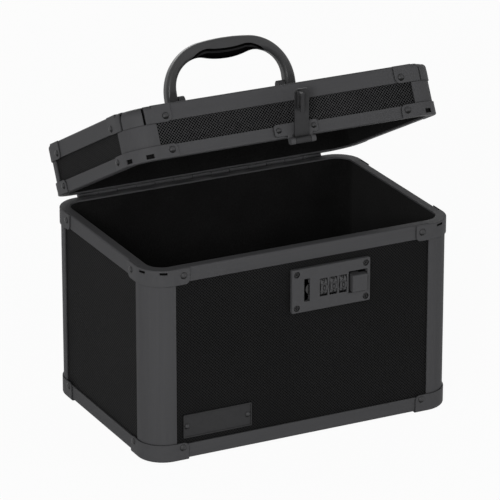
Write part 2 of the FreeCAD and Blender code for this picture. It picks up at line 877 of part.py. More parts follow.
def handle_feet():
    """Two feet on the lid, each a flange with an upright ear for the pivot pin."""
    foot_body = new_body("handle_foot")
    flange = new_sketch(foot_body, "XY_Plane", lid_top)
    rounded_rectangle(flange, -foot_out, -foot_in, -foot_half, foot_half, foot_round)
    pad(foot_body, flange, foot_sheet)
    ear = new_sketch(foot_body, "YZ_Plane", -(ear_in + ear_thick))
    outline(ear, [
        (-ear_root, lid_top + foot_sheet),
        (ear_root, lid_top + foot_sheet),
        (ear_round, pivot_z),
        (-ear_round, pivot_z, as_size(0), pivot_z, 1),
    ])
    pad(foot_body, ear, ear_thick)
    hole = new_sketch(foot_body, "YZ_Plane", -(ear_in + ear_thick))
    circle(hole, as_size(0), pivot_z, handle_pin)
    cut(foot_body, hole, ear_thick)
    pin = new_body("handle_pin")
    rod = new_sketch(pin, "YZ_Plane", -(leg_in + pin_entry))
    circle(rod, as_size(0), pivot_z, handle_pin)
    pad(pin, rod, leg_in + pin_entry - ear_in)
    both = [turned(0, handle_place), turned(180, handle_place)]
    group("handle_feet", copies_of(foot_body, both), OPEN)
    group("handle_pins", copies_of(pin, both), OPEN)


def handle():
    """Arched handle with a belly and a groove under the grip, and tapered round leg ends.
    It stands on the lid and leans a little forward."""
    low = pivot_z - handle_half
    spring = lid_top + arch_spring
    shoulder = leg_out - arch_out
    crown_radius = arch_out + dome_radius(shoulder, crown)
    crown_centre = spring + arch_out + crown - crown_radius
    lean = arch_out / (crown_radius - arch_out)
    crown_x = shoulder + shoulder * lean
    crown_z = spring + (spring - crown_centre) * lean
    inner_spring = lid_top + arch_in_spring
    inner_shoulder = leg_in - arch_in
    belly_radius = dome_radius(inner_shoulder, belly) - arch_in
    belly_centre = inner_spring + arch_in - belly + belly_radius
    inner_lean = arch_in / (belly_radius + arch_in)
    belly_x = inner_shoulder - inner_shoulder * inner_lean
    belly_z = inner_spring + (belly_centre - inner_spring) * inner_lean
    body = new_body("handle")
    sketch = new_sketch(body, "XZ_Plane", -handle_half)
    outline(sketch, [
        (-leg_in, low),
        (-leg_out, low),
        (-leg_out, spring),
        (-crown_x, crown_z, -shoulder, spring, -1),
        (crown_x, crown_z, as_size(0), crown_centre, -1),
        (leg_out, spring, shoulder, spring, -1),
        (leg_out, low),
        (leg_in, low),
        (leg_in, inner_spring),
        (belly_x, belly_z, inner_shoulder, inner_spring, 1),
        (-belly_x, belly_z, as_size(0), belly_centre, -1),
        (-leg_in, inner_spring, -inner_shoulder, inner_spring, 1),
    ])
    pad(body, sketch, handle_half * 2)
    along_x = FreeCAD.Vector(1, 0, 0)

    def on_arch(edge):
        flat = max(v.Point.y for v in edge.Vertexes) - min(v.Point.y for v in edge.Vertexes) < NEAR
        at_face = abs(abs(edge.CenterOfMass.y) - handle_half.value) < NEAR
        return flat and at_face and not runs_along(edge, along_x)

    round_edges(body, handle_soft, on_arch)
    clear = handle_half + crown
    taper_top = pivot_z + leg_taper
    ends = new_sketch(body, "YZ_Plane", -leg_out)
    outline(ends, [
        (-clear, taper_top),
        (-handle_half, taper_top),
        (-leg_end, pivot_z),
        (leg_end, pivot_z, as_size(0), pivot_z, 1),
        (handle_half, taper_top),
        (clear, taper_top),
        (clear, low - crown),
        (-clear, low - crown),
    ])
    cut(body, ends, leg_out * 2)
    outer = belly_radius - grip_groove_in
    inner = outer - grip_groove
    across = math.sin(grip_groove_lean.value)
    down = math.cos(grip_groove_lean.value)
    for start in (-handle_half, handle_half - grip_groove_deep):
        groove_line = new_sketch(body, "XZ_Plane", start)
        outline(groove_line, [
            (-outer * across, belly_centre - outer * down),
            (outer * across, belly_centre - outer * down, as_size(0), belly_centre, 1),
            (inner * across, belly_centre - inner * down),
            (-inner * across, belly_centre - inner * down, as_size(0), belly_centre, -1),
        ])
        cut(body, groove_line, grip_groove_deep)
    for start in (-(leg_in + pin_entry), leg_in):
        hole = new_sketch(body, "YZ_Plane", start)
        circle(hole, as_size(0), pivot_z, handle_pin + running)
        cut(body, hole, pin_entry)
    forward = swing(handle_lean.value, as_size(0), pivot_z)
    finish(body, OPEN, forward.multiply(turned(0, handle_place)))


# Hasp


def hasp_base():
    """Winged plate on the lid's front with two lugs that carry the hasp's pin."""
    low = lid_low + wing_low
    body = new_body("hasp_base")
    wings = new_sketch(body, "XZ_Plane", half_depth)
    left = hasp_place + wing_shift - wing_half
    right = left + wing_half * 2
    rounded_rectangle(wings, left, right, low, low + wing_tall, wing_round)
    pad(body, wings, wing_sheet)
    front = -(half_depth + wing_sheet)
    for start in (hasp_place - lug_half - lug_wide, hasp_place + lug_half):
        strip = new_sketch(body, "YZ_Plane", start)
        rectangle(strip, front, front + lug_sheet, hasp_z - wing_low, low + wing_low)
        pad(body, strip, lug_wide)
        roll = new_sketch(body, "YZ_Plane", start)
        circle(roll, hasp_y, hasp_z, hasp_knuckle)
        pad(body, roll, lug_wide)
    hole = new_sketch(body, "YZ_Plane", left)
    circle(hole, hasp_y, hasp_z, hasp_pin)
    cut(body, hole, wing_half * 2)
    finish(body, OPEN)
    pin = new_body("hasp_pin")
    rod = new_sketch(pin, "YZ_Plane", hasp_place - lug_half - lug_wide)
    circle(rod, hasp_y, hasp_z, hasp_pin)
    pad(pin, rod, (lug_half + lug_wide) * 2)
    finish(pin, OPEN)


def hasp_plate():
    """Swinging plate with a knuckle and a staple that enters the lock's slot."""
    front = hasp_knuckle - hasp_y
    back = front - hasp_sheet
    end = hasp_z - hasp_long
    left = hasp_place - hasp_half
    right = hasp_place + hasp_half
    body = new_body("hasp_plate")
    flat = new_sketch(body, "XZ_Plane", back)
    outline(flat, [
        (hasp_place, end),
        (right - hasp_round, end),
        (right, end + hasp_round, right - hasp_round, end + hasp_round, 1),
        (right, hasp_z),
        (left, hasp_z),
        (left, end + hasp_round),
        (left + hasp_round, end, left + hasp_round, end + hasp_round, 1),
    ])
    pad(body, flat, hasp_sheet)
    roll_half = lug_half - knuckle_gap
    roll = new_sketch(body, "YZ_Plane", hasp_place - roll_half)
    circle(roll, hasp_y, hasp_z, hasp_knuckle)
    pad(body, roll, roll_half * 2)
    hole = new_sketch(body, "YZ_Plane", hasp_place - roll_half)
    circle(hole, hasp_y, hasp_z, hasp_pin + running)
    cut(body, hole, roll_half * 2)
    staple = new_sketch(body, "YZ_Plane", staple_place - staple_thick / 2)
    centre = hasp_z - staple_down
    tip = staple_out - back
    rectangle(staple, -back, tip, centre - staple_half, centre + staple_half)
    eye = tip - staple_bar
    rectangle(staple, eye - staple_eye, eye, centre - staple_eye_half, centre + staple_eye_half)
    pad(body, staple, staple_thick)
    up = swing(-hasp_angle.value, hasp_y, hasp_z)
    finish(body, OPEN, up)


# Lock


HOUSING_OUTLINE = (
    lock_left + housing_edge,
    lock_right - housing_edge,
    lock_middle - lock_half + housing_edge,
    lock_middle + lock_half - housing_edge,
)


def dial_places():
    return [dial_centre + dial_pitch * step for step in (-1.0, 0.0, 1.0)]


def screw_places():
    places = []
    for x in (lock_left + screw_inset, lock_right - screw_inset):
        for z in (lock_middle - lock_half + screw_inset, lock_middle + lock_half - screw_inset):
            places.append((x, z))
    return places


def lock_screws():
    """Four screws sunk in the lock's plate, each with a cross recess."""
    body = new_body("lock_screw")
    head = new_sketch(body, "XY_Plane")
    circle(head, as_size(0), as_size(0), screw_head)
    pad(body, head, screw_head_tall)
    shank = new_sketch(body, "XY_Plane", -screw_long)
    circle(shank, as_size(0), as_size(0), screw_shank)
    pad(body, shank, screw_long)
    recess = new_sketch(body, "XY_Plane", screw_head_tall - screw_cross_deep)
    outline(recess, cross_path(screw_cross, screw_cross_arm))
    cut(body, recess, screw_cross_deep)
    seat = screw_bore_deep - lock_face
    places = []
    for index, (x, z) in enumerate(screw_places()):
        places.append(facing("front", x, seat, z).multiply(turned(screw_turn.value * index)))
    group("lock_screws", copies_of(body, places))


def cross_path(reach, arm):
    """Outline of an upright cross."""
    corners = [(reach, -arm), (reach, arm), (arm, arm)]
    path = []
    for quarter in range(4):
        path += corners
        corners = [(-y, x) for x, y in corners]
    return path


def lock_plate():
    """Face of the lock: staple slot, three dial windows and the button's opening."""
    body = new_body("lock_plate")
    sketch = new_sketch(body, "XZ_Plane", board_front)
    low = lock_middle - lock_half
    high = lock_middle + lock_half
    rounded_rectangle(sketch, lock_left, lock_right, low, high, lock_round)
    slot_low = lock_middle - slot_half_tall
    slot_high = lock_middle + slot_half_tall
    rectangle(sketch, slot_place - slot_half, slot_place + slot_half, slot_low, slot_high)
    for x in dial_places():
        left = x - window_wide / 2
        rectangle(sketch, left, left + window_wide, lock_middle - window_half, lock_middle + window_half)
    opening_low = button_low - button_foot
    opening_high = button_high + button_head
    rectangle(sketch, button_left - button_side, button_right + button_foot, opening_low, opening_high)
    for x, z in screw_places():
        circle(sketch, x, z, screw_shank)
    pad(body, sketch, lock_thick)
    face = -lock_face.value
    edge_x = [lock_left.value, lock_right.value]
    edge_z = [low.value, high.value]

    def on_front_rim(edge):
        middle = edge.CenterOfMass
        if abs(middle.y - face) > NEAR:
            return False
        near = lock_round.value
        return (min(abs(middle.x - x) for x in edge_x) < near
                or min(abs(middle.z - z) for z in edge_z) < near)

    dress(body, "Chamfer", "Size", lock_bevel, on_front_rim)
    recess = new_sketch(body, "XZ_Plane", board_front)
    nose_room = nose_half + drive_slack
    right = arm_left + arm_thick + travel + drive_slack
    rectangle(recess, staple_place, right, lock_middle - nose_room, lock_middle + nose_room)
    cut(body, recess, nose_pocket)
    for x in dial_places():
        left = x - window_wide / 2
        relief = new_sketch(body, "XZ_Plane", board_front)
        rectangle(relief, left, left + window_wide, lock_middle - relief_half, lock_middle + relief_half)
        cut(body, relief, relief_deep)
    sunk = new_sketch(body, "XZ_Plane", lock_face - screw_bore_deep)
    for x, z in screw_places():
        circle(sunk, x, z, screw_bore)
    cut(body, sunk, screw_bore_deep)
    finish(body)


def housing_inside(sketch):
    """Inside of the housing, with a square boss left in each corner for a screw."""
    left = HOUSING_OUTLINE[0] + housing_wall
    right = HOUSING_OUTLINE[1] - housing_wall
    low = HOUSING_OUTLINE[2] + housing_wall
    high = HOUSING_OUTLINE[3] - housing_wall
    outline(sketch, [
        (left + boss, low),
        (right - boss, low),
        (right - boss, low + boss),
        (right, low + boss),
        (right, high - boss),
        (right - boss, high - boss),
        (right - boss, high),
        (left + boss, high),
        (left + boss, high - boss),
        (left, high - boss),
        (left, low + boss),
        (left + boss, low + boss),
    ])


def lock_housing():
    """Tray behind the plate, with screw bosses and two bearers for the dials' spindle."""
    body = new_body("lock_housing")
    back = new_sketch(body, "XZ_Plane", -(tunnel_back + housing_wall))
    rectangle(back, *HOUSING_OUTLINE)
    pad(body, back, tunnel_back + housing_wall + board_front)
    inside = new_sketch(body, "XZ_Plane", -tunnel_back)
    housing_inside(inside)
    cut(body, inside, tunnel_back + board_front)
    bearer_front = bearer_lip - spindle_y
    for left in bearer_places():
        rib = new_sketch(body, "XZ_Plane", -tunnel_back)
        rectangle(rib, left, left + bearer, lock_middle - bearer_half, lock_middle + bearer_half)
        pad(body, rib, tunnel_back + bearer_front)
    hole = new_sketch(body, "YZ_Plane", bearer_places()[0])
    circle(hole, spindle_y, lock_middle, spindle)
    cut(body, hole, bearer_places()[1] + bearer - bearer_places()[0])
    thread = new_sketch(body, "XZ_Plane", lock_face - screw_bore_deep - screw_long)
    for x, z in screw_places():
        circle(thread, x, z, screw_shank)
    cut(body, thread, screw_long)
    finish(body)
    rod_body = new_body("dial_spindle")
    rod = new_sketch(rod_body, "YZ_Plane", bearer_places()[0])
    circle(rod, spindle_y, lock_middle, spindle)
    pad(rod_body, rod, bearer_places()[1] + bearer - bearer_places()[0])
    finish(rod_body)


def bearer_places():
    """Left sides of the two spindle bearers, outside the row of dials."""
    half_row = dial_pitch + dial_wide / 2
    return [dial_centre - half_row - bearer_gap - bearer, dial_centre + half_row + bearer_clear]


def dial(label, place):
    """Number wheel with ten finger flutes and a bore for the spindle."""
    body = new_body(label)
    disc = new_sketch(body, "YZ_Plane", dial_wide / -2)
    circle(disc, as_size(0), as_size(0), dial_radius)
    circle(disc, as_size(0), as_size(0), spindle + running)
    pad(body, disc, dial_wide)
    nick = new_sketch(body, "YZ_Plane", dial_wide / -2)
    circle(nick, dial_radius, as_size(0), flute)
    flute_cut = cut(body, nick, dial_wide)
    ring = body.newObject("PartDesign::PolarPattern", label + "_flutes")
    ring.Originals = [flute_cut]
    ring.Axis = ([item for item in body.Origin.OriginFeatures if item.Role == "X_Axis"][0], [""])
    ring.Angle = 360
    ring.Occurrences = 10
    body.Tip = ring
    tilt = FreeCAD.Rotation(FreeCAD.Vector(1, 0, 0), dial_turn.value)
    finish(body, turned(0, place, spindle_y, lock_middle), FreeCAD.Placement(FreeCAD.Vector(), tilt))


def release_button():
    """Raised thumb pad in the plate's opening, with a tab and a driving pin behind it."""
    body = new_body("release_button")
    thumb = new_sketch(body, "XZ_Plane", board_front)
    rectangle(thumb, button_left, button_right, button_low, button_high)
    pad(body, thumb, lock_thick + button_proud)
    face = -(lock_face + button_proud).value

    def on_thumb_face(edge):
        return abs(edge.CenterOfMass.y - face) < NEAR

    round_edges(body, button_soft, on_thumb_face)
    tab = new_sketch(body, "XZ_Plane", board_front - tab_thick)
    rectangle(tab, tab_left, tab_right, tab_low, button_high)
    pad(body, tab, tab_thick)
    pin = new_sketch(body, "XZ_Plane", -(spindle_y + bar_thick / 2))
    circle(pin, drive_place, bar_middle, drive_pin)
    pad(body, pin, board_front - tab_thick + spindle_y + bar_thick / 2)
    finish(body)


def lock_bolt():
    """Bolt: round nose in the staple slot, arm, bar under the dials, and a slanted slot
    at its end that the button's pin draws along."""
    back = -(spindle_y + bar_thick / 2)
    body = new_body("lock_bolt")
    arm_right = arm_left + arm_thick
    arm = new_sketch(body, "XZ_Plane", back)
    rectangle(arm, arm_left, arm_right, bar_middle - bar_half, lock_middle + nose_half)
    pad(body, arm, board_front - back)
    nose = new_sketch(body, "XZ_Plane", board_front)
    tip = arm_left - nose_reach
    blunt = dome_radius(nose_half, nose_reach)
    outline(nose, [
        (arm_right, lock_middle - nose_half),
        (arm_right, lock_middle + nose_half),
        (arm_left, lock_middle + nose_half),
        (arm_left, lock_middle - nose_half, tip + blunt, lock_middle, 1),
    ])
    pad(body, nose, nose_thick)
    bar = new_sketch(body, "XZ_Plane", back)
    half_slot = drive_pin + drive_slack
    margin = half_slot + drive_wall
    plate_left = drive_place - travel - margin
    rectangle(bar, arm_right, plate_left, bar_middle - bar_half, bar_middle + bar_half)
    pad(body, bar, bar_thick)
    end = new_sketch(body, "XZ_Plane", back)
    rectangle(end, plate_left, drive_place + margin, bar_middle - margin, bar_middle + travel + margin)
    slanted_slot(end, half_slot)
    pad(body, end, bar_thick)
    finish(body)


def slanted_slot(sketch, half):
    """Slot at 45 degrees, from the driving pin's rest place up and to the left."""
    slant = half * math.sqrt(0.5)
    low_x = drive_place
    low_z = bar_middle
    high_x = drive_place - travel
    high_z = bar_middle + travel
    outline(sketch, [
        (low_x - travel / 2 + slant, low_z + travel / 2 + slant),
        (high_x + slant, high_z + slant),
        (high_x - slant, high_z - slant, high_x, high_z, 1),
        (low_x - slant, low_z - slant),
        (low_x + slant, low_z + slant, low_x, low_z, 1),
    ])


def bolt_spring():
    """Coil that pushes the bolt back to the left, from its end plate to the housing."""
    start = drive_place + drive_pin + drive_slack + drive_wall
    end = HOUSING_OUTLINE[1] - housing_wall
    length = end.value - start.value - 2 * spring_wire.value
    pitch = length / spring_turns.value
    coil = Part.makeHelix(pitch, length, spring_radius.value)
    section = Part.Wire(Part.makeCircle(spring_wire.value, FreeCAD.Vector(spring_radius.value, 0, 0),
                                        FreeCAD.Vector(0, 1, 0)))
    item = doc.addObject("Part::Feature", "bolt_spring")
    item.Label = "bolt_spring"
    item.Shape = Part.Wire(coil).makePipeShell([section], True, True)
    lie = FreeCAD.Rotation(FreeCAD.Vector(0, 1, 0), 90)
    middle = FreeCAD.Vector(start.value + spring_wire.value, spindle_y.value,
                            (bar_middle + spring_rise).value)
    finish(item, SHUT, FreeCAD.Placement(middle, lie))
    print("spring gap between turns", round(pitch - 2 * spring_wire.value, 2))


# Build: lower case
rivet = rivet_body("rivet_head", rivet_radius, rivet_dome)
small_rivet = rivet_body("small_rivet_head", small_rivet_radius, small_rivet_dome)
board_low = foot + skin
board_high = case_top - skin
lining_low = board_low + board
housing_hole = HOUSING_OUTLINE
wall_board("case_front_panel", "front", board_low, board_high, hole=housing_hole)
for name in ("rear", "left", "right"):
    wall_board("case_%s_panel" % name, name, board_low, board_high)
flat_board("case_floor_panel", board_low, board)
case_lining(lining_low, board_high)
for name, (corner_x, corner_y, corner_turn) in CORNERS.items():
    post = post_body("case_post_" + name, foot, board_high)
    finish(post, SHUT, turned(corner_turn, corner_x, corner_y))
edge_rails("case_base_rail", foot, 1, base_face, base_flange)
edge_rails("case_rim_rail", case_top, -1, rim_face, rim_flange)
base_cap = corner_cap("base_cap", as_size(0), base_cap_tall, base_cap_reach,
                      as_size(0), foot, base_cap_reach, base_cap_plate, base_cap_soft)
group("case_base_caps", at_corners(base_cap))
rim_cap = corner_cap("rim_cap", case_top - rim_cap_tall, rim_cap_tall, rim_cap_reach,
                     board_high, skin, post_face, rim_flange)
flange_slots(rim_cap, case_top - dash_drop, dash_tall)
group("case_rim_caps", at_corners(rim_cap))
name_plate()

# Build: lid
lid_board_low = lid_low + skin
lid_board_high = lid_top - skin
for name in TURNS:
    wall_board("lid_%s_panel" % name, name, lid_board_low, lid_board_high, OPEN)
flat_board("lid_top_panel", lid_board_high - board, board, OPEN)
lid_lining(lid_board_low, lid_board_high - board)
lid_post = post_body("lid_post", lid_board_low, lid_top - lid_top_cap_tall)
group("lid_posts", at_corners(lid_post), OPEN)
edge_rails("lid_rim_rail", lid_low, 1, lid_rim_face, rim_flange, OPEN)
edge_rails("lid_top_rail", lid_top, -1, lid_top_face, lid_top_flange, OPEN)
lid_rim_cap = corner_cap("lid_rim_cap", lid_low, lid_rim_cap_tall, lid_cap_reach,
                         lid_low, skin, post_face, rim_flange)
flange_slots(lid_rim_cap, lid_low + notch_rise, notch_tall)
group("lid_rim_caps", at_corners(lid_rim_cap), OPEN)
lid_top_cap = corner_cap("lid_top_cap", lid_top - lid_top_cap_tall, lid_top_cap_tall, lid_cap_reach,
                         lid_board_high, skin, post_face, lid_top_flange)
ball_corner(lid_top_cap, lid_top - lid_top_cap_tall)
group("lid_top_caps", at_corners(lid_top_cap), OPEN)

# Build: hinge, rivets, handle, hasp and lock
rear_hinge()
plate_face = -(board_front + plate_thick - plate_sunk)
plate_rivets = [
    facing("front", plate_centre + plate_rivet * side, plate_face, plate_middle) for side in (-1.0, 1.0)
]
case_rivet_places = ring_of_rivets(base_cap_reach, base_rivet_rise)
case_rivet_places += ring_of_rivets(rim_cap_reach, case_top - rim_face / 2, rear=False)
case_rivet_places += leaf_rivets(hinge_z - leaf_rivet_rise)
group("case_rivets", copies_of(rivet, case_rivet_places) + copies_of(small_rivet, plate_rivets))
wing_middle = lid_low + wing_low + wing_tall / 2
hasp_rivets = [
    facing("front", hasp_place + wing_shift + wing_rivet * side, -(half_depth + wing_sheet), wing_middle)
    for side in (-1.0, 1.0)
]
lid_rivet_places = ring_of_rivets(lid_cap_reach, lid_low + lid_rim_rivet_rise, rear=False)
lid_rivet_places += ring_of_rivets(lid_cap_reach, lid_top - lid_top_rivet_drop)
lid_rivet_places += leaf_rivets(hinge_z + leaf_rivet_rise)
group("lid_rivets", copies_of(rivet, lid_rivet_places) + copies_of(small_rivet, hasp_rivets), OPEN)
handle_feet()
handle()
hasp_base()
hasp_plate()
lock_plate()
lock_screws()
lock_housing()
for name, dial_place in zip(("left", "middle", "right"), dial_places()):
    dial("dial_" + name, dial_place)
release_button()
lock_bolt()
bolt_spring()

# Check and write
doc.recompute()
for item in doc.Objects:
    if "Invalid" in item.State or "Error" in item.State:
        raise RuntimeError("%s failed: %s" % (item.Label, item.State))
    if item.TypeId == "PartDesign::Pocket":
        if item.BaseFeature.Shape.Volume - item.Shape.Volume < 1e-3:
            raise RuntimeError("%s cuts nothing" % item.Label)
os.makedirs("parts", exist_ok=True)
for item in pieces:
    if item.Shape.isNull() or not item.Shape.isValid() or not item.Shape.Solids:
        raise RuntimeError("%s has no sound solid" % item.Label)
    item.Shape.exportStep("parts/%s.step" % item.Label)
print(len(pieces), "pieces written")
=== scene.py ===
import json
import math
from typing import NamedTuple

import bpy
from mathutils import Matrix, Vector


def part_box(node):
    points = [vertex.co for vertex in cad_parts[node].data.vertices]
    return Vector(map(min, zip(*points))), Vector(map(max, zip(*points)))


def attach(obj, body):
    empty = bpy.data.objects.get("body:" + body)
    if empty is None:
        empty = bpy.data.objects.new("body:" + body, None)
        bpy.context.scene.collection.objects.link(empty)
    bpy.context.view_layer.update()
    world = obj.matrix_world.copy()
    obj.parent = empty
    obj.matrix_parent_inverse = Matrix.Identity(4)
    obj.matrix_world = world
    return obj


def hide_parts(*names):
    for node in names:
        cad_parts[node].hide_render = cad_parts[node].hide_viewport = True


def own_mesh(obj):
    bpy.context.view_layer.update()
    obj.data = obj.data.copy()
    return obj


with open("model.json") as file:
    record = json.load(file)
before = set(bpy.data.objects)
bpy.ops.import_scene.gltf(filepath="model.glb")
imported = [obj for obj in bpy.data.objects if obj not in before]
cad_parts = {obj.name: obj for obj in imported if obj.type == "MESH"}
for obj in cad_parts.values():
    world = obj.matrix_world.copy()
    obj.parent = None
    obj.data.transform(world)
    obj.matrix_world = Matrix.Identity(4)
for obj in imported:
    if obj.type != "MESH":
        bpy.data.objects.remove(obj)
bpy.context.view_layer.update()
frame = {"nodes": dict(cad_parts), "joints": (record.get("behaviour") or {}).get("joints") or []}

# Looks of the cash box: camera, light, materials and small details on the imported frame.
# Metres, the same frame as the solids.

NODES = frame["nodes"]
PIVOTS = {joint["name"]: joint.get("pos_m") for joint in frame["joints"]}
LID_ANGLE = math.radians(27.0)
HANDLE_ANGLE = math.radians(19.0)
QUARTER_TURN = math.radians(90.0)


def plain_grey(level, tint=1.0):
    """Opaque grey, a little bluer with tint above 1."""
    return (level, level, level * tint, 1.0)


# Camera

YAW = math.radians(-26.768)
PITCH = math.radians(-20.989)
FOCAL_PIXELS = 3950.2
IMAGE_PIXELS = 500.0
SENSOR = 36.0
TARGET = Vector((0.0, 0.0, 0.090))
TARGET_PIXEL = (252.25, 286.79)
DISTANCE = 3.0


def add_camera():
    """Camera of the photograph, found from the box's straight edges."""
    data = bpy.data.cameras.new("camera")
    data.sensor_width = SENSOR
    data.lens = FOCAL_PIXELS * SENSOR / IMAGE_PIXELS
    camera = bpy.data.objects.new("camera", data)
    bpy.context.collection.objects.link(camera)
    turn = Matrix.Rotation(YAW, 3, "Z") @ Matrix.Rotation(PITCH, 3, "X")
    middle = IMAGE_PIXELS / 2
    ray = Vector((
        (TARGET_PIXEL[0] - middle) / FOCAL_PIXELS,
        1.0,
        (middle - TARGET_PIXEL[1]) / FOCAL_PIXELS,
    ))
    place = TARGET - (turn @ ray) * DISTANCE
    look = turn @ Matrix.Rotation(QUARTER_TURN, 3, "X")
    camera.matrix_world = Matrix.Translation(place) @ look.to_4x4()
    bpy.context.scene.camera = camera


# Light and surroundings


class Lamp(NamedTuple):
    name: str
    place: tuple
    size: tuple
    watts: float


LAMP_AIM = Vector((0.0, 0.0, 0.12))
LAMPS = (
    Lamp("key", (-1.2, -1.65, 0.9), (0.6, 0.6), 23.0),
    Lamp("fill", (1.6, -1.1, 0.9), (1.4, 1.0), 5.0),
    Lamp("rear", (0.5, 1.9, 0.5), (1.4, 0.8), 6.0),
)
WHITE = plain_grey(1.0)
WHITE_STRENGTH = 1.0
LOW_FILL = 1.2
HIGH_FILL = 0.05
FADE_START = 0.15
FADE_END = 0.75
FLOOR_SIZE = 12.0
FLOOR_DROP = 0.0005
FLOOR_GREY = 0.80
FLOOR_WHITE_SHARE = 0.95


def add_lamps():
    """Soft lamps at the front left, at the front right and behind."""
    for lamp in LAMPS:
        data = bpy.data.lights.new(lamp.name, "AREA")
        data.shape = "RECTANGLE"
        data.size, data.size_y = lamp.size
        data.energy = lamp.watts
        piece = bpy.data.objects.new(lamp.name, data)
        bpy.context.collection.objects.link(piece)
        piece.location = lamp.place
        piece.rotation_euler = (LAMP_AIM - Vector(lamp.place)).to_track_quat("-Z", "Y").to_euler()


def seen_straight(tree):
    """1 for rays from the camera and for those that metal or glass pass on, 0 for all others."""
    path = tree.nodes.new("ShaderNodeLightPath")
    seen = path.outputs["Is Camera Ray"]
    for kind in ("Is Glossy Ray", "Is Transmission Ray"):
        either = tree.nodes.new("ShaderNodeMath")
        either.operation = "MAXIMUM"
        tree.links.new(seen, either.inputs[0])
        tree.links.new(path.outputs[kind], either.inputs[1])
        seen = either.outputs[0]
    return seen


def mix_shaders(tree, share, first, second, output_kind):
    """Show the first shader, and the second by its share."""
    mix = tree.nodes.new("ShaderNodeMixShader")
    tree.links.new(share, mix.inputs["Fac"])
    tree.links.new(first.outputs[0], mix.inputs[1])
    tree.links.new(second.outputs[0], mix.inputs[2])
    out = tree.nodes.new(output_kind)
    tree.links.new(mix.outputs[0], out.inputs["Surface"])


def fill_strength(tree):
    """Strength of the fill by direction: full from the sides, weak from overhead."""
    toward = tree.nodes.new("ShaderNodeTexCoord")
    parts = tree.nodes.new("ShaderNodeSeparateXYZ")
    tree.links.new(toward.outputs["Generated"], parts.inputs[0])
    fade = tree.nodes.new("ShaderNodeMapRange")
    fade.inputs["From Min"].default_value = FADE_START
    fade.inputs["From Max"].default_value = FADE_END
    fade.inputs["To Min"].default_value = LOW_FILL
    fade.inputs["To Max"].default_value = HIGH_FILL
    tree.links.new(parts.outputs["Z"], fade.inputs["Value"])
    return fade.outputs[0]


def add_world():
    """White to the camera and to reflections, and the fill for everything else."""
    world = bpy.data.worlds.new("studio")
    bpy.context.scene.world = world
    world.use_nodes = True
    tree = world.node_tree
    tree.nodes.clear()
    fill = tree.nodes.new("ShaderNodeBackground")
    fill.inputs["Color"].default_value = WHITE
    tree.links.new(fill_strength(tree), fill.inputs["Strength"])
    white = tree.nodes.new("ShaderNodeBackground")
    white.inputs["Color"].default_value = WHITE
    white.inputs["Strength"].default_value = WHITE_STRENGTH
    mix_shaders(tree, seen_straight(tree), fill, white, "ShaderNodeOutputWorld")


def add_floor():
    """Pale floor that reads white and keeps a faint shadow."""
    bpy.ops.mesh.primitive_plane_add(size=FLOOR_SIZE, location=(0.0, 0.0, -FLOOR_DROP))
    floor = bpy.context.object
    floor.name = "floor"
    material = bpy.data.materials.new("floor_white")
    material.use_nodes = True
    tree = material.node_tree
    tree.nodes.clear()
    paint = tree.nodes.new("ShaderNodeBsdfDiffuse")
    paint.inputs["Color"].default_value = plain_grey(FLOOR_GREY)
    glow = tree.nodes.new("ShaderNodeEmission")
    glow.inputs["Strength"].default_value = WHITE_STRENGTH
    share = tree.nodes.new("ShaderNodeMath")
    share.operation = "MULTIPLY"
    share.inputs[1].default_value = FLOOR_WHITE_SHARE
    tree.links.new(seen_straight(tree), share.inputs[0])
    mix_shaders(tree, share.outputs[0], paint, glow, "ShaderNodeOutputMaterial")
    floor.data.materials.append(material)


# Tools for materials

BEVEL_SAMPLES = 4
OCCLUSION_SAMPLES = 6
# How far an edge's rounded normal turns, from no painted highlight to full.
EDGE_HIGHLIGHT_BENDS = (0.80, 0.99)
# How far a head's normal points down, from no painted shade to full.
UNDERSIDE_SHADE_SLOPES = (0.10, 0.40)


def leaning_height(place, turn):
    """Height of a place, measured square to a part that leans back by turn."""
    return place[1] * math.sin(turn) + place[2] * math.cos(turn)


